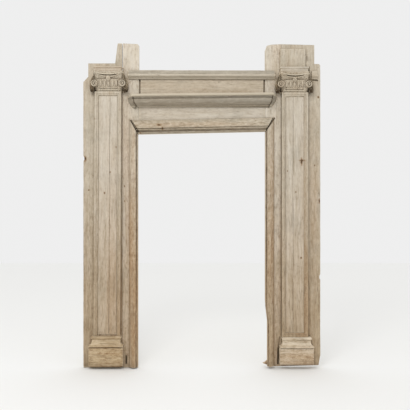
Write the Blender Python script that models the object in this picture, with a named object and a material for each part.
"""Old pine door surround: two panelled pilasters with carved capitals and a moulded head.

Metres, +Z up. The wall is the plane y = 0 and the front faces -Y. x = 0 is the middle of the
doorway. The origin is on the back of the head board, where the surround is fixed to the wall.
Every piece is placed by three distances: how far out from the middle of the doorway it lies,
how far forward of the wall, and how high above the floor.
"""
import math

import bmesh
import bpy

# Fixing and joints
MOUNT_HEIGHT = 2.25
GAP = 0.0003

# Boards
BOARD = 0.028
PROUD = 0.040

# Heights of the whole, each upper level hung from the left board's top
L_TOP = 2.917
R_TOP = L_TOP - 0.011
L_SHOULDER = L_TOP - 0.180
R_SHOULDER = R_TOP - 0.174
L_SHAFT_TOP = L_TOP - 0.438
R_SHAFT_TOP = R_TOP - 0.436
RAIL_BOTTOM = L_TOP - 0.325
SEAM_HEIGHT = L_TOP - 0.487
CORNICE_BOTTOM = L_TOP - 0.592
HEAD_BOTTOM = L_TOP - 0.806

# Left pier, distances outward from the middle of the doorway
L_OPENING = 0.576
L_HEAD_EDGE = 0.567
L_BOARD_JOINT = 0.719
L_SHAFT_INNER = 0.721
L_SHAFT_WIDTH = 0.238
L_OUTER_EDGE = 1.069
L_UPPER_EDGE = 1.025
L_EDGE_STEP_LOW = L_SHOULDER - 0.168
L_EDGE_STEP_HIGH = L_SHOULDER - 0.119
L_STRIP_EDGE = 0.783
L_STRIP_TIP_EDGE = 0.760
L_FOOT = 0.0
L_LEAN = 0.012
L_NICK_HEIGHT = 1.880
L_OPEN_JOINT = 0.005
L_WEAR = 0.003
L_CAPITAL_MIDDLE = 0.831
L_PLINTH_IN = 0.028
L_PLINTH_OUT = 0.041
L_IMPOST_HEIGHT = 0.044

# Right pier
R_OPENING = 0.568
R_HEAD_EDGE = 0.567
R_BOARD_JOINT = 0.712
R_SHAFT_INNER = 0.715
R_SHAFT_WIDTH = 0.234
R_OUTER_EDGE = 1.066
R_STRIP_EDGE = 1.012
R_CORNER_WIDE = 0.053
R_CORNER_DEEP = 0.054
R_FOOT = 0.009
R_FOOT_RISE = 0.013
R_FOOT_TAPER = 0.015
R_SPLINTER_REACH = 0.022
R_SPLINTER_HEIGHT = 0.064
R_WEAR = 0.019
R_WEAR_TOP = 0.600
R_NICK_HEIGHT = 0.814
R_CAPITAL_MIDDLE = 0.824
R_PLINTH_IN = 0.022
R_PLINTH_OUT = 0.050
R_IMPOST_HEIGHT = 0.049

# Nicks in the outer edges
NICK_LENGTH = 0.050
NICK_DEPTH = 0.008

# Pilasters
STILE = 0.020
PANEL_MOULD = 0.017
TOP_RAIL = 0.040
PANEL_SINK = 0.015
CRACK_WIDTH = 0.003
CRACK_DEPTH = 0.006
CRACK_SHARE = 0.60

# Pilaster feet
PLINTH_HEIGHT = 0.197
PLINTH_SHORT = 0.020
PLINTH_PROUD = 0.022
BASE_HEIGHT = 0.094
BASE_NOSE = 0.030
BASE_NOSE_HEIGHT = 0.016
BASE_GROOVE = 0.004
BASE_GROOVE_HEIGHT = 0.012
BASE_ROLL = 0.011
BASE_ROLL_HEIGHT = 0.027

# Impost blocks and the raised block
IMPOST_FILLET = 0.013
IMPOST_LIP = 0.006
IMPOST_PROUD = 0.014
L_IMPOST_INNER = 0.717
L_IMPOST_OUTER = 0.963
R_IMPOST_INNER = 0.703
R_IMPOST_OUTER = 0.948
R_BLOCK_INNER = 0.702
R_BLOCK_OUTER = 0.928
R_BLOCK_PROUD = 0.026
R_BLOCK_HEIGHT = 0.168

# Doorway mouldings
MOULD_RISE = 0.046
JAMB_MOULD = 0.080
JAMB_SHORT = 0.009
HEAD_MOULD = 0.126
HEAD_SLOPE = 0.021
MITRE_GAP = 0.009
MITRE_OUT = 0.640
MITRE_RUN = 0.068

# Head board, cornice, upper frieze and rail
CORNICE_HEIGHT = 0.127
CORNICE_FILLET = 0.025
CORNICE_PROUD = 0.100
CORNICE_L_BASE = 0.591
CORNICE_R_BASE = 0.596
CORNICE_SPLAY_WALL = 0.080
CORNICE_SPLAY_FRONT = 0.036
CORNICE_SLOPE = 0.010
FRIEZE_END = 0.552
FRIEZE_TONGUE = 0.010
RAIL_HEIGHT = 0.079
RAIL_PROUD = 0.044
RAIL_CLEAR = 0.004
RAIL_SLOPE = -0.003
STUB_OUTER = R_OUTER_EDGE - 0.028
R_STUB_LAP = 0.008
STUB_PROUD = 0.020

# Capitals, heights above the shaft's top and widths from the capital's middle
NECK = 0.007
BEAD = 0.013
BEAD_HALF = 0.098
BEAD_SWELL = 0.009
ECHINUS_TOP = 0.104
ECHINUS_SWELL = 0.034
BELL_TOP = 0.124
BELL_HALF = 0.120
ABACUS_TOP = 0.174
ABACUS_HALF = 0.134
ABACUS_PROUD = 0.106
ABACUS_HOLLOW = 0.026
ABACUS_STEP = 0.009
ABACUS_SAG = 0.018
LIP_UP = 0.143
LIP_HALF = 0.003
GROOVE_DEPTH = 0.0155
MEMBER_LOW = 0.117
MEMBER_TOP = 0.132
MEMBER_SAG = 0.045
HORN_CUT = 0.014
VOLUTE_OUT = 0.124
VOLUTE_HEIGHT = 0.062
VOLUTE_RADIUS = 0.029
VOLUTE_PROUD = 0.094
VOLUTE_TURN = 24.0
SPIRAL_TURNS = 1.6
SPIRAL_WIDTH = 0.0075
SPIRAL_RISE = 0.007
FLANK_REACH = 0.171
FLANK_INNER = 0.1303
FLANK_RADIUS = 0.047
FLANK_FORWARD = 0.034
FLANK_HEIGHT = 0.034
EGG_COUNT = 5
EGG_PITCH = 0.035
EGG_HALF = 0.0115
EGG_LENGTH = 0.054
EGG_RISE = 0.008
DART_HALF = 0.004
BOSS_RADIUS = 0.022
BOSS_HEIGHT = 0.103
BOSS_PROUD = 0.097
PETALS = 5

LEFT = -1
RIGHT = 1

PINE_PALE = ("pale stripped pine", (0.60, 0.53, 0.43), 0.78)
PINE_MID = ("stripped pine", (0.52, 0.44, 0.34), 0.76)
PINE_WARM = ("worn warm pine", (0.46, 0.36, 0.25), 0.72)


def clear_scene():
    """Remove what the file opened with."""
    for thing in list(bpy.data.objects):
        bpy.data.objects.remove(thing, do_unlink=True)


def wood(kind):
    """One Principled material for each tone of the pine."""
    name, colour, roughness = kind
    material = bpy.data.materials.get(name)
    if material is None:
        material = bpy.data.materials.new(name)
        material.use_nodes = True
        shader = material.node_tree.nodes["Principled BSDF"]
        shader.inputs["Base Color"].default_value = (*colour, 1.0)
        shader.inputs["Roughness"].default_value = roughness
        shader.inputs["Metallic"].default_value = 0.0
        material.diffuse_color = (*colour, 1.0)
    return material


def at(side, out, forward, height):
    """World point from the three distances of this file."""
    return (side * out, -forward, height - MOUNT_HEIGHT)


def add_solid(name, points, faces, kind):
    """A named object from points and faces, with its faces turned outward."""
    mesh = bpy.data.meshes.new(name)
    mesh.from_pydata(points, [], faces)
    shell = bmesh.new()
    shell.from_mesh(mesh)
    bmesh.ops.recalc_face_normals(shell, faces=shell.faces)
    shell.to_mesh(mesh)
    shell.free()
    mesh.materials.append(wood(kind))
    solid = bpy.data.objects.new(name, mesh)
    bpy.context.collection.objects.link(solid)
    return solid


def ring_faces(count, rings, ends, start=0):
    """Side faces between rings of count points, closed by end faces or back onto the first."""
    faces = []
    pairs = rings - 1 if ends else rings
    for ring in range(pairs):
        low = start + ring * count
        high = start + ((ring + 1) % rings) * count
        for i in range(count):
            j = (i + 1) % count
            faces.append((low + i, low + j, high + j, high + i))
    if ends:
        last = start + (rings - 1) * count
        faces.append(tuple(range(start, start + count)))
        faces.append(tuple(range(last, last + count)))
    return faces


def loft(name, rings, kind, ends=True):
    """A solid through rings of points, each with the same number of points."""
    points = [point for ring in rings for point in ring]
    return add_solid(name, points, ring_faces(len(rings[0]), len(rings), ends), kind)


def board(name, side, outline, kind, back=0.0, thickness=BOARD):
    """A flat board from its outline of (out, height) points."""
    rings = []
    for forward in (back, back + thickness):
        rings.append([at(side, out, forward, height) for out, height in outline])
    return loft(name, rings, kind)


def ellipse(centre, radii, first, last, steps):
    """Points on an ellipse from one angle to another, in degrees."""
    points = []
    for i in range(steps + 1):
        angle = math.radians(first + (last - first) * i / steps)
        points.append((centre[0] + radii[0] * math.cos(angle), centre[1] + radii[1] * math.sin(angle)))
    return points


def nick(edge, height, inward):
    """A shallow worn hollow in a board's upright edge, walked upward or downward."""
    half = inward * NICK_LENGTH / 2
    points = []
    for share in (-1.0, -0.4, 0.4, 1.0):
        depth = NICK_DEPTH * (1 - abs(share)) / 0.6
        points.append((edge - depth, height + share * half))
    return points


def block(name, side, inner, outer, front, profile, kind, back=BOARD + GAP):
    """A block against the boards, swollen on its front and two sides along its height.

    profile is a list of (height, swell) from the bottom up.
    """
    rings = []
    for height, swell in profile:
        corners = ((inner - swell, back), (outer + swell, back),
                   (outer + swell, front + swell), (inner - swell, front + swell))
        rings.append([at(side, out, forward, height) for out, forward in corners])
    return loft(name, rings, kind)


def lean(solid, amount, low, high):
    """Shift a solid's points outward towards its foot, so that an upright leans."""
    for vertex in solid.data.vertices:
        share = (high - MOUNT_HEIGHT - vertex.co.z) / (high - low)
        vertex.co.x += amount * max(0.0, share)


def slope(solid, rise):
    """Raise a solid's points with their distance to the right, so that a level piece slopes."""
    for vertex in solid.data.vertices:
        vertex.co.z += rise * vertex.co.x


def door_mould(width):
    """Section of the doorway moulding as (across, rise), from its outer edge to the opening.

    A small step, a broad rounded ovolo, a quirk, a bead, a hollow and a flat fillet.
    """
    round_end = 0.61 * width
    bead = 0.045 * width
    bead_middle = round_end + 2.1 * bead
    hollow_end = bead_middle + 3.8 * bead
    points = [(0.0, 0.0), (0.0, 0.16 * MOULD_RISE)]
    points += ellipse((round_end, 0.10 * MOULD_RISE), (-round_end * 0.96, 0.90 * MOULD_RISE), 14, 90, 7)
    points += [(round_end + 0.5 * bead, 0.70 * MOULD_RISE)]
    points += ellipse((bead_middle, 0.74 * MOULD_RISE), (-bead, bead), 20, 170, 4)
    points += [(bead_middle + 1.3 * bead, 0.52 * MOULD_RISE), (hollow_end, 0.56 * MOULD_RISE)]
    points += [(hollow_end + 0.2 * bead, 0.66 * MOULD_RISE), (width, 0.66 * MOULD_RISE), (width, 0.0)]
    return points


def mitre_line(height_down, side_shift):
    """Distance out of the open mitre at a depth below the head moulding's upper edge."""
    return MITRE_OUT - side_shift - MITRE_RUN * height_down / HEAD_MOULD


def jamb_moulding(name, side, opening, foot, top_rise, wear):
    """The upright doorway moulding, cut along the mitre at its top and worn thinner at its foot."""
    head_top = HEAD_BOTTOM + HEAD_MOULD + top_rise
    rings = []
    for height, thin in ((foot, wear), (0.72 * R_WEAR_TOP, wear), (R_WEAR_TOP, 0.0), (None, 0.0)):
        ring = []
        for across, rise in door_mould(JAMB_MOULD):
            out = opening + JAMB_MOULD - across
            if height is None:
                down = (MITRE_OUT - out) * HEAD_MOULD / MITRE_RUN
                level = head_top - max(-0.2 * HEAD_MOULD, down) - MITRE_GAP
            else:
                level = height
                out = out + thin * across / JAMB_MOULD
            ring.append(at(side, out, BOARD + GAP + rise, level))
        rings.append(ring)
    return loft(name, rings, PINE_MID)


def head_moulding():
    """The doorway moulding across the head, cut back along both mitres."""
    rings = []
    top = HEAD_BOTTOM + HEAD_MOULD
    for side in (LEFT, RIGHT):
        ring = []
        for across, rise in door_mould(HEAD_MOULD):
            out = mitre_line(across, MITRE_GAP / 2)
            ring.append(at(side, out, BOARD + GAP + rise, top - across))
        rings.append(ring)
    solid = loft("head_moulding", rings, PINE_MID)
    slope(solid, HEAD_SLOPE)
    return solid


def cornice_section():
    """Section of the cornice as (forward share, sideways share, height), from its foot upward.

    A small flat foot, a broad ovolo that swells outward as it rises, a hollow and the shelf. Its
    returned ends are fuller than its front, so each point has its own share to the side.
    """
    under = CORNICE_HEIGHT - CORNICE_FILLET
    points = [(0.14, 0.12, 0.0), (0.14, 0.12, 0.06 * under), (0.22, 0.20, 0.08 * under)]
    for step in range(1, 7):
        turn = math.radians(15 * step)
        swell = math.sin(turn)
        height = under * (0.08 + 0.64 * (1 - math.cos(turn)))
        points.append((0.22 + 0.56 * swell, 0.20 + 0.72 * swell, height))
    points += [(0.74, 0.93, 0.76 * under), (0.76, 0.94, 0.90 * under), (0.90, 0.97, 0.97 * under)]
    points += [(0.98, 1.0, under), (1.0, 1.0, under + 0.003), (1.0, 1.0, CORNICE_HEIGHT - 0.005)]
    points.append((0.96, 0.99, CORNICE_HEIGHT))
    return points


def cornice():
    """The shelf cornice over the frieze, with splayed returns.

    Four rows of section points: against the boards at the left, at the two front corners, and
    against the boards at the right.
    """
    section = cornice_section()
    rows = ((LEFT, CORNICE_L_BASE, CORNICE_SPLAY_WALL, 0.0),
            (LEFT, CORNICE_L_BASE, CORNICE_SPLAY_FRONT, 1.0),
            (RIGHT, CORNICE_R_BASE, CORNICE_SPLAY_FRONT, 1.0),
            (RIGHT, CORNICE_R_BASE, CORNICE_SPLAY_WALL, 0.0))
    points = []
    for side, base, splay, front in rows:
        for share, sideways, height in section:
            forward = BOARD + GAP + front * share * CORNICE_PROUD
            out = base + splay * (share if front else sideways)
            points.append(at(side, out, forward, CORNICE_BOTTOM + height))
    count = len(section)
    faces = []
    for row in range(3):
        for i in range(count - 1):
            a = row * count + i
            faces.append((a, a + 1, a + count + 1, a + count))
    first = [row * count for row in range(4)]
    faces.append(tuple(first))
    faces.append(tuple(start + count - 1 for start in first))
    left = list(range(first[0], first[0] + count))
    right = list(range(first[3], first[3] + count))
    faces.append(tuple(left + right[::-1]))
    solid = add_solid("cornice_shelf", points, faces, PINE_MID)
    slope(solid, CORNICE_SLOPE)
    return solid


def rail_section():
    """Section of the upper rail as (forward, height): cove, rounded nose and upright fascia."""
    points = [(0.0, 0.0), (0.35, 0.0), (0.42, 0.10)]
    points += [(0.58, 0.17), (0.72, 0.22)]
    points += [(0.72 + 0.28 * math.cos(a), 0.36 + 0.14 * math.sin(a))
               for a in [math.radians(-60 + 30 * i) for i in range(5)]]
    points += [(0.62, 0.52), (0.50, 0.58), (0.50, 0.97), (0.46, 1.0), (0.0, 1.0)]
    return points


def rail(name, ends, proud, bottom, kind):
    """A length of the upper rail between two ends given as (side, out)."""
    rings = []
    for side, out in ends:
        ring = []
        for forward, height in rail_section():
            ring.append(at(side, out, BOARD + GAP + forward * proud, bottom + height * RAIL_HEIGHT))
        rings.append(ring)
    return loft(name, rings, kind)


def pilaster_frame(name, side, inner, foot, top):
    """A pilaster's stiles and rails round a sunk opening with a moulded edge."""
    outer = inner + (R_SHAFT_WIDTH if side == RIGHT else L_SHAFT_WIDTH)
    back = BOARD + GAP
    front = BOARD + PROUD
    edge = STILE
    sunk = STILE + PANEL_MOULD

    def rectangle(inset, top_inset, forward):
        return [at(side, inner + inset, forward, foot + inset),
                at(side, outer - inset, forward, foot + inset),
                at(side, outer - inset, forward, top - top_inset),
                at(side, inner + inset, forward, top - top_inset)]

    rings = [rectangle(0.0, 0.0, back), rectangle(0.0, 0.0, front)]
    rings.append(rectangle(edge, TOP_RAIL - PANEL_MOULD, front))
    for share, drop in ((0.15, 0.30), (0.50, 0.36), (0.85, 0.62), (1.0, 1.0)):
        inset = edge + PANEL_MOULD * share
        rings.append(rectangle(inset, TOP_RAIL - PANEL_MOULD * (1 - share), front - PANEL_SINK * drop))
    rings.append(rectangle(sunk, TOP_RAIL, back))
    return loft(name, rings, PINE_PALE, ends=False)


def pilaster_panel(name, side, inner, foot, top):
    """The thin board inside a pilaster's frame, with an old crack along its length."""
    outer = inner + (R_SHAFT_WIDTH if side == RIGHT else L_SHAFT_WIDTH)
    sunk = STILE + PANEL_MOULD + GAP
    low = inner + sunk
    high = outer - sunk
    crack = high - CRACK_SHARE * (high - low) if side == LEFT else low + (1 - CRACK_SHARE) * (high - low)
    back = BOARD + GAP
    front = back + PROUD - PANEL_SINK
    half = CRACK_WIDTH / 2
    outline = ((low, back), (high, back), (high, front), (crack + half, front),
               (crack, front - CRACK_DEPTH), (crack - half, front), (low, front))
    rings = []
    for height in (foot + sunk, top - TOP_RAIL - GAP):
        rings.append([at(side, out, forward, height) for out, forward in outline])
    return loft(name, rings, PINE_PALE)


def impost(name, side, inner, outer, bottom, height):
    """The plain block over a capital, with a lip along its upper edge."""
    profile = ((bottom, 0.0), (bottom + height - IMPOST_FILLET, 0.0),
               (bottom + height - 0.7 * IMPOST_FILLET, IMPOST_LIP), (bottom + height, IMPOST_LIP))
    return block(name, side, inner, outer, BOARD + PROUD + IMPOST_PROUD, profile, PINE_PALE)


def base_moulding(name, side, inner, outer, bottom):
    """The moulding between shaft and plinth: nose, sweeping hollow, groove and rounded roll."""
    nose_top = bottom + BASE_NOSE_HEIGHT
    roll_bottom = bottom + BASE_HEIGHT - BASE_ROLL_HEIGHT
    groove_bottom = roll_bottom - BASE_GROOVE_HEIGHT
    profile = [(bottom + GAP, BASE_NOSE - 0.002), (bottom + 0.3 * BASE_NOSE_HEIGHT, BASE_NOSE)]
    profile += [(bottom + 0.8 * BASE_NOSE_HEIGHT, BASE_NOSE), (nose_top, BASE_NOSE - 0.003)]
    for share in (0.0, 0.25, 0.5, 0.75, 1.0):
        turn = math.radians(90 * share)
        swell = BASE_NOSE - 0.006 - (BASE_NOSE - 0.006 - BASE_GROOVE) * math.sin(turn)
        profile.append((nose_top + 0.001 + (groove_bottom - nose_top - 0.001) * (1 - math.cos(turn)), swell))
    for share in (0.0, 0.2, 0.5, 0.8, 1.0):
        swell = BASE_GROOVE + (BASE_ROLL - BASE_GROOVE) * math.sin(math.pi * share) ** 0.6
        height = roll_bottom + (BASE_ROLL_HEIGHT - GAP) * share
        profile.append((height, swell))
    return block(name, side, inner + BASE_NOSE, outer - BASE_NOSE, BOARD + PROUD + 0.001, profile, PINE_MID)


def plinth(name, side, inner, outer, foot, top):
    """The worn block at a pilaster's foot, its upper arris eased."""
    profile = ((foot, -0.004), (foot + 0.012, 0.0), (top - 0.014, 0.0), (top - 0.005, -0.002),
               (top - GAP, -0.008))
    return block(name, side, inner, outer, BOARD + PROUD + PLINTH_PROUD, profile, PINE_WARM)


class Carving:
    """Closed forms gathered in one mesh, about the middle of a capital's foot."""

    def __init__(self):
        self.points = []
        self.faces = []

    def add(self, rings, ends=True):
        """Add one closed form through rings of (across, forward, up) points."""
        start = len(self.points)
        for ring in rings:
            self.points += [(across, -forward, up) for across, forward, up in ring]
        self.faces += ring_faces(len(rings[0]), len(rings), ends, start)

    def add_fan(self, rings, tip):
        """Add one closed form through rings that ends in a point."""
        start = len(self.points)
        count = len(rings[0])
        for ring in rings:
            self.points += [(across, -forward, up) for across, forward, up in ring]
        self.faces += ring_faces(count, len(rings), True, start)[:-1]
        last = start + (len(rings) - 1) * count
        self.points.append((tip[0], -tip[1], tip[2]))
        for i in range(count):
            self.faces.append((last + i, last + (i + 1) % count, len(self.points) - 1))


def bell_rings():
    """The capital's body: neck, bead, swelling echinus and the plain band under the abacus."""
    sections = [(0.0, BEAD_HALF - 0.006, PROUD - 0.002)]
    sections.append((NECK, BEAD_HALF - 0.006, PROUD - 0.002))
    for share in (0.0, 0.2, 0.5, 0.8, 1.0):
        swell = BEAD_SWELL * math.sin(math.pi * share) + 0.001
        sections.append((NECK + BEAD * share, BEAD_HALF - 0.006 + swell, PROUD - 0.002 + swell))
    bottom = NECK + BEAD
    for share in (0.25, 0.5, 0.75, 1.0):
        turn = math.radians(90 * share)
        swell = ECHINUS_SWELL * math.sin(turn)
        height = bottom + (ECHINUS_TOP - bottom) * (1 - math.cos(turn))
        sections.append((height, BEAD_HALF - 0.006 + 0.5 * swell, PROUD + swell))
    sections.append((BELL_TOP, BELL_HALF, PROUD + 0.8 * ECHINUS_SWELL))
    sections.append((BELL_TOP + ABACUS_STEP, BELL_HALF, PROUD + 0.8 * ECHINUS_SWELL))
    rings = []
    for up, half, forward in sections:
        rings.append([(-half, 0.0, up), (half, 0.0, up), (half, forward, up), (-half, forward, up)])
    return rings


def abacus_outline(inset, up, sag, ceiling=None):
    """The abacus in plan: hollow front between two cut horns, and straight sides to the wall.

    Its lines hang: they rise from the middle to the horns with the square of the distance out,
    but stay below a ceiling that hangs less, so that a member thins out towards the horns.
    """
    half = ABACUS_HALF - inset
    horn = half - HORN_CUT
    front = ABACUS_PROUD - inset
    points = [(-half, 0.0), (half, 0.0), (half, front - HORN_CUT)]
    steps = 12
    for i in range(steps + 1):
        share = 1 - 2 * i / steps
        points.append((horn * share, front - ABACUS_HOLLOW * (1 - share * share)))
    points.append((-half, front - HORN_CUT))
    outline = []
    for across, forward in points:
        spread = (across / half) ** 2
        level = up + sag * spread
        if ceiling is not None:
            level = min(level, ceiling + ABACUS_SAG * spread)
        outline.append((across, forward, level))
    return outline


def add_volute(carving, turn_side):
    """A scroll under one horn: a drum turned outward with a spiral fillet and an eye on its face."""
    turn = math.radians(VOLUTE_TURN) * turn_side
    middle = VOLUTE_OUT * turn_side
    face = VOLUTE_PROUD

    def on_face(radius, angle, rise):
        flat = radius * math.cos(angle)
        return (middle + flat * math.cos(turn) + rise * math.sin(turn),
                face - flat * math.sin(turn) * 0.6 + rise * math.cos(turn),
                VOLUTE_HEIGHT + radius * math.sin(angle))

    sides = 20
    angles = [2 * math.pi * i / sides for i in range(sides)]
    drum = []
    for share, rise in ((0.9, -0.070), (1.0, -0.004), (0.96, 0.0)):
        drum.append([on_face(share * VOLUTE_RADIUS, angle, rise) for angle in angles])
    carving.add(drum)
    eye = []
    for radius, rise in ((0.24 * VOLUTE_RADIUS, -0.004), (0.22 * VOLUTE_RADIUS, 0.9 * SPIRAL_RISE)):
        eye.append([on_face(radius, angle, rise) for angle in angles[::3]])
    carving.add(eye)
    steps = int(14 * SPIRAL_TURNS)
    spiral = []
    for i in range(steps + 1):
        share = i / steps
        radius = (VOLUTE_RADIUS - SPIRAL_WIDTH) * (1 - 0.66 * share)
        width = SPIRAL_WIDTH * (1 - 0.45 * share)
        angle = math.pi / 2 - turn_side * 2 * math.pi * SPIRAL_TURNS * share
        spiral.append([on_face(radius, angle, -0.003), on_face(radius + width, angle, -0.003),
                       on_face(radius + 0.8 * width, angle, SPIRAL_RISE),
                       on_face(radius + 0.2 * width, angle, SPIRAL_RISE)])
    carving.add(spiral)


def add_flank(carving, turn_side):
    """The side scroll against the board, which hangs a little below the shaft's top, clear of the shaft."""
    sides = 16
    rings = []
    for across, radius in ((FLANK_INNER, 1.0), (0.93 * FLANK_REACH, 0.85), (0.98 * FLANK_REACH, 0.70),
                           (FLANK_REACH, 0.45)):
        ring = []
        for i in range(sides):
            angle = 2 * math.pi * i / sides
            forward = FLANK_FORWARD + (FLANK_FORWARD - 0.001) * radius * math.cos(angle)
            ring.append((turn_side * across, forward,
                         FLANK_HEIGHT + FLANK_RADIUS * radius * math.sin(angle)))
        rings.append(ring)
    carving.add(rings)


def add_abacus(carving):
    """The abacus: a hanging crescent below, a deep groove, a thin lip and the plate above it."""
    thin = 0.002
    rings = [abacus_outline(3.0 * ABACUS_STEP, MEMBER_LOW, 0.0),
             abacus_outline(1.6 * ABACUS_STEP, MEMBER_LOW, MEMBER_SAG, MEMBER_TOP - 3 * thin),
             abacus_outline(0.8 * ABACUS_STEP, MEMBER_LOW + thin, MEMBER_SAG, MEMBER_TOP - 2 * thin),
             abacus_outline(0.8 * ABACUS_STEP, MEMBER_TOP - thin, ABACUS_SAG),
             abacus_outline(1.2 * ABACUS_STEP, MEMBER_TOP, ABACUS_SAG),
             abacus_outline(GROOVE_DEPTH, MEMBER_TOP + thin, ABACUS_SAG),
             abacus_outline(GROOVE_DEPTH, LIP_UP - LIP_HALF, ABACUS_SAG),
             abacus_outline(0.0, LIP_UP - 0.5 * LIP_HALF, ABACUS_SAG),
             abacus_outline(0.0, LIP_UP + 0.5 * LIP_HALF, ABACUS_SAG),
             abacus_outline(LIP_HALF, LIP_UP + LIP_HALF, ABACUS_SAG),
             abacus_outline(LIP_HALF, ABACUS_TOP, 0.0)]
    carving.add(rings)


def add_side_stems(carving):
    """The flaring sides under the abacus, which sweep down to the scrolls against the boards."""
    rings = []
    for up, share, forward in ((0.031, 0.90, 0.020), (0.079, 0.97, 0.030), (0.099, 0.94, 0.026),
                               (0.120, 0.88, 0.028), (0.148, 0.78, 0.030), (0.164, 0.76, 0.030)):
        half = share * FLANK_REACH
        rings.append([(-half, 0.0, up), (half, 0.0, up), (half, forward, up), (-half, forward, up)])
    carving.add(rings)


def add_horns(carving, turn_side):
    """The stem that rises from a scroll to its horn of the abacus."""
    rings = []
    for up, out, half, forward in ((VOLUTE_HEIGHT, VOLUTE_OUT, 0.0208, VOLUTE_PROUD - 0.008),
                                   (VOLUTE_HEIGHT + VOLUTE_RADIUS, VOLUTE_OUT, 0.0196, VOLUTE_PROUD - 0.006),
                                   (BELL_TOP, VOLUTE_OUT - 0.002, 0.013, ABACUS_PROUD - 0.016),
                                   (BELL_TOP + 0.022, VOLUTE_OUT - 0.005, 0.012, ABACUS_PROUD - 0.014)):
        middle = turn_side * out
        rings.append([(middle - half, 0.02, up), (middle + half, 0.02, up),
                      (middle + half, forward - 0.008, up), (middle - half, forward, up)])
    carving.add(rings)


def add_eggs(carving):
    """Eggs standing out of the echinus, with a dart between each two."""
    middle = (NECK + BEAD + ECHINUS_TOP) / 2
    leaning = ECHINUS_SWELL / (ECHINUS_TOP - NECK - BEAD)
    for i in range(EGG_COUNT):
        across = (i - (EGG_COUNT - 1) / 2) * EGG_PITCH
        rings = []
        for share in (-0.85, -0.45, 0.0, 0.45, 0.8):
            wide = math.sqrt(1 - share * share)
            up = middle + share * EGG_LENGTH / 2
            face = PROUD + 0.55 * ECHINUS_SWELL + leaning * share * EGG_LENGTH / 2
            ring = []
            for k in range(8):
                angle = 2 * math.pi * k / 8
                ring.append((across + EGG_HALF * wide * math.cos(angle),
                             face + 1.6 * EGG_RISE * wide * math.sin(angle), up))
            rings.append(ring)
        carving.add(rings)
        if i < EGG_COUNT - 1:
            dart = across + EGG_PITCH / 2
            low = NECK + BEAD + 0.010
            high = ECHINUS_TOP - 0.006
            ring_low = [(dart - 0.002, PROUD, low), (dart + 0.002, PROUD, low), (dart, PROUD + 0.016, low)]
            deep = PROUD + 0.5 * ECHINUS_SWELL
            ring_high = [(dart - DART_HALF, deep, high), (dart + DART_HALF, deep, high),
                         (dart, deep + 0.024, high)]
            carving.add([ring_low, ring_high])


def add_boss(carving):
    """The flower in the middle of the abacus, with round petals."""
    rings = []
    sides = 4 * PETALS
    back = ABACUS_PROUD - ABACUS_HOLLOW - 0.030
    for radius, forward in ((0.85, back), (1.0, BOSS_PROUD - 0.006), (0.75, BOSS_PROUD + 0.002)):
        ring = []
        for i in range(sides):
            angle = 2 * math.pi * i / sides
            lobe = 1 - 0.16 * abs(math.sin(PETALS * angle / 2))
            ring.append((BOSS_RADIUS * radius * lobe * math.cos(angle), forward,
                         BOSS_HEIGHT + BOSS_RADIUS * radius * lobe * math.sin(angle)))
        rings.append(ring)
    carving.add_fan(rings, (0.0, BOSS_PROUD + 0.006, BOSS_HEIGHT))


def capital(name, side, middle, base):
    """A carved capital: all its forms joined into one solid, then moved to its place."""
    carving = Carving()
    carving.add(bell_rings())
    add_abacus(carving)
    add_side_stems(carving)
    for turn_side in (-1, 1):
        add_horns(carving, turn_side)
        add_volute(carving, turn_side)
        add_flank(carving, turn_side)
    add_eggs(carving)
    add_boss(carving)
    rough = add_solid(name + "_forms", carving.points, carving.faces, PINE_PALE)
    core = add_solid(name + "_core", *core_block(), PINE_PALE)
    union = core.modifiers.new("union", "BOOLEAN")
    union.operation = "UNION"
    union.solver = "EXACT"
    union.use_self = True
    union.object = rough
    bpy.context.view_layer.update()
    graph = bpy.context.evaluated_depsgraph_get()
    mesh = bpy.data.meshes.new_from_object(core.evaluated_get(graph))
    mesh.name = name
    foot = at(side, middle, BOARD + GAP, base)
    for vertex in mesh.vertices:
        vertex.co = [along + shift for along, shift in zip(vertex.co, foot)]
    solid = bpy.data.objects.new(name, mesh)
    bpy.context.collection.objects.link(solid)
    bpy.data.objects.remove(core, do_unlink=True)
    bpy.data.objects.remove(rough, do_unlink=True)
    return solid


def core_block():
    """A plain block inside the capital that the carved forms are joined to."""
    half = 0.5 * BEAD_HALF
    points = []
    for up in (0.5 * NECK, 0.5 * (BELL_TOP + ABACUS_TOP)):
        for across, forward in ((-half, 0.004), (half, 0.004), (half, 0.5 * PROUD), (-half, 0.5 * PROUD)):
            points.append((across, -forward, up))
    return points, ring_faces(4, 2, True)


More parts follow.
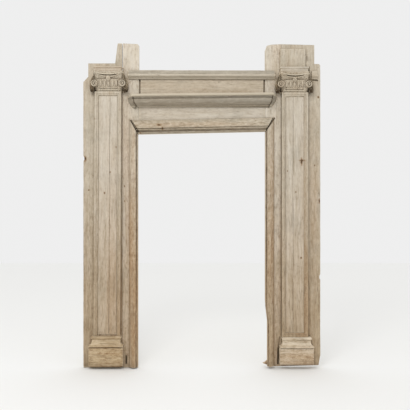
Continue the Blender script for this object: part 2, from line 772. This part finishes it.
def left_pier():
    """All pieces of the left pier."""
    outer_low = L_BOARD_JOINT + GAP
    outline = [(outer_low, L_FOOT), (L_OUTER_EDGE, L_FOOT)]
    outline += nick(L_OUTER_EDGE, L_NICK_HEIGHT, 1)
    outline += [(L_OUTER_EDGE, L_EDGE_STEP_LOW), (L_UPPER_EDGE, L_EDGE_STEP_HIGH),
                (L_UPPER_EDGE, L_SHOULDER), (L_STRIP_EDGE, L_SHOULDER),
                (L_STRIP_TIP_EDGE, L_TOP), (outer_low, L_TOP)]
    board("left_outer_board", LEFT, outline, PINE_PALE)
    head_foot = HEAD_BOTTOM - HEAD_SLOPE * L_OPENING
    joint_low = L_SHAFT_TOP + ABACUS_TOP
    outline = [(L_OPENING, L_FOOT), (L_BOARD_JOINT, L_FOOT), (L_BOARD_JOINT, joint_low),
               (L_BOARD_JOINT - L_OPEN_JOINT, joint_low + L_OPEN_JOINT),
               (L_BOARD_JOINT - L_OPEN_JOINT, L_TOP),
               (L_HEAD_EDGE + 0.012, L_TOP - 0.006), (L_HEAD_EDGE, L_TOP - 0.020),
               (L_HEAD_EDGE, head_foot), (L_OPENING, head_foot)]
    board("left_jamb_board", LEFT, outline, PINE_MID)
    inner = L_SHAFT_INNER
    outer = inner + L_SHAFT_WIDTH
    base = L_FOOT + PLINTH_HEIGHT
    plinth_inner = inner - L_PLINTH_IN
    plinth_outer = outer + L_PLINTH_OUT
    shaft_foot = base + BASE_HEIGHT + GAP
    pieces = [pilaster_frame("left_pilaster_frame", LEFT, inner, shaft_foot, L_SHAFT_TOP),
              pilaster_panel("left_pilaster_panel", LEFT, inner, shaft_foot, L_SHAFT_TOP),
              base_moulding("left_base_moulding", LEFT, plinth_inner, plinth_outer, base),
              plinth("left_plinth", LEFT, plinth_inner, plinth_outer, L_FOOT + PLINTH_SHORT, base)]
    for piece in pieces:
        lean(piece, -L_LEAN, L_FOOT, L_SHAFT_TOP)
    capital("left_capital", LEFT, L_CAPITAL_MIDDLE, L_SHAFT_TOP + GAP)
    impost("left_impost_block", LEFT, L_IMPOST_INNER, L_IMPOST_OUTER,
           L_SHAFT_TOP + ABACUS_TOP + 2 * GAP, L_IMPOST_HEIGHT)
    jamb_moulding("left_jamb_moulding", LEFT, L_OPENING, L_FOOT + JAMB_SHORT, -HEAD_SLOPE * MITRE_OUT,
                  L_WEAR)


def right_pier():
    """All pieces of the right pier, which hangs a little lower and ends short of the floor."""
    outer_low = R_BOARD_JOINT + GAP
    span = R_OUTER_EDGE - R_OPENING

    def foot(out):
        return R_FOOT + R_FOOT_RISE * (out - R_OPENING) / span

    outline = [(outer_low, foot(outer_low)), (R_OUTER_EDGE - R_FOOT_TAPER, foot(R_OUTER_EDGE)),
               (R_OUTER_EDGE, foot(R_OUTER_EDGE) + 6 * R_FOOT_TAPER)]
    outline += nick(R_OUTER_EDGE, R_NICK_HEIGHT, 1)
    outline += [(R_OUTER_EDGE, R_SHOULDER - 0.014), (R_OUTER_EDGE - 0.012, R_SHOULDER),
                (R_STRIP_EDGE, R_SHOULDER), (R_STRIP_EDGE, R_TOP - 0.004),
                (outer_low, R_TOP + 0.004)]
    board("right_outer_board", RIGHT, outline, PINE_PALE)
    head_foot = HEAD_BOTTOM + HEAD_SLOPE * R_OPENING
    worn = R_OPENING + R_WEAR
    outline = [(worn, foot(R_OPENING)), (R_BOARD_JOINT, foot(R_BOARD_JOINT)),
               (R_BOARD_JOINT, R_TOP + 0.004), (R_HEAD_EDGE + R_CORNER_WIDE, R_TOP),
               (R_HEAD_EDGE + 0.3 * R_CORNER_WIDE, R_TOP - 0.010), (R_HEAD_EDGE, R_TOP - R_CORNER_DEEP),
               (R_HEAD_EDGE, head_foot), (R_OPENING, head_foot), (R_OPENING, R_WEAR_TOP),
               (worn, 0.72 * R_WEAR_TOP), (worn, R_SPLINTER_HEIGHT),
               (worn - R_SPLINTER_REACH, 0.7 * R_SPLINTER_HEIGHT),
               (R_OPENING - R_SPLINTER_REACH, 0.6 * R_SPLINTER_HEIGHT), (worn, 0.38 * R_SPLINTER_HEIGHT)]
    board("right_jamb_board", RIGHT, outline, PINE_MID)
    inner = R_SHAFT_INNER
    outer = inner + R_SHAFT_WIDTH
    base = R_SHAFT_TOP - L_SHAFT_TOP + L_FOOT + PLINTH_HEIGHT
    shaft_foot = base + BASE_HEIGHT + GAP
    pilaster_frame("right_pilaster_frame", RIGHT, inner, shaft_foot, R_SHAFT_TOP)
    pilaster_panel("right_pilaster_panel", RIGHT, inner, shaft_foot, R_SHAFT_TOP)
    plinth_inner = inner - R_PLINTH_IN
    plinth_outer = outer + R_PLINTH_OUT
    base_moulding("right_base_moulding", RIGHT, plinth_inner, plinth_outer, base)
    plinth("right_plinth", RIGHT, plinth_inner, plinth_outer, foot(plinth_outer) + PLINTH_SHORT, base)
    capital("right_capital", RIGHT, R_CAPITAL_MIDDLE, R_SHAFT_TOP + GAP)
    impost_foot = R_SHAFT_TOP + ABACUS_TOP + 2 * GAP
    impost("right_impost_block", RIGHT, R_IMPOST_INNER, R_IMPOST_OUTER, impost_foot, R_IMPOST_HEIGHT)
    block_foot = impost_foot + R_IMPOST_HEIGHT + GAP
    profile = ((block_foot, 0.0), (block_foot + R_BLOCK_HEIGHT - 0.004, 0.0),
               (block_foot + R_BLOCK_HEIGHT, -0.004))
    block("right_upper_block", RIGHT, R_BLOCK_INNER, R_BLOCK_OUTER, BOARD + R_BLOCK_PROUD, profile,
          PINE_PALE)
    jamb_moulding("right_jamb_moulding", RIGHT, R_OPENING, R_FOOT + JAMB_SHORT, HEAD_SLOPE * MITRE_OUT,
                  R_WEAR)
    stub_ends = ((RIGHT, R_CAPITAL_MIDDLE + FLANK_REACH - R_STUB_LAP), (RIGHT, STUB_OUTER))
    rail("right_moulding_stub", stub_ends, STUB_PROUD, RAIL_BOTTOM, PINE_PALE)


def head():
    """The boards and mouldings over the doorway."""
    low_left = HEAD_BOTTOM - HEAD_SLOPE * L_HEAD_EDGE
    low_right = HEAD_BOTTOM + HEAD_SLOPE * R_HEAD_EDGE
    left = -L_HEAD_EDGE + GAP
    right = R_HEAD_EDGE - GAP
    outline = [(left, low_left), (right, low_right), (right, SEAM_HEIGHT - GAP), (left, SEAM_HEIGHT - GAP)]
    board("head_board", RIGHT, outline, PINE_MID)
    head_moulding()
    cornice()
    plan = ((left, 0.0), (right, 0.0), (right, FRIEZE_TONGUE), (FRIEZE_END, FRIEZE_TONGUE),
            (FRIEZE_END, BOARD), (-FRIEZE_END, BOARD), (-FRIEZE_END, FRIEZE_TONGUE), (left, FRIEZE_TONGUE))
    rings = []
    for height in (SEAM_HEIGHT, RAIL_BOTTOM + 0.97 * RAIL_HEIGHT):
        rings.append([at(RIGHT, out, forward, height) for out, forward in plan])
    loft("upper_frieze", rings, PINE_PALE)
    left_end = L_CAPITAL_MIDDLE - 0.97 * FLANK_REACH - RAIL_CLEAR
    right_end = R_CAPITAL_MIDDLE - 0.97 * FLANK_REACH - RAIL_CLEAR
    solid = rail("upper_rail_moulding", ((LEFT, left_end), (RIGHT, right_end)), RAIL_PROUD, RAIL_BOTTOM,
                 PINE_PALE)
    slope(solid, RAIL_SLOPE)


clear_scene()
left_pier()
right_pier()
head()
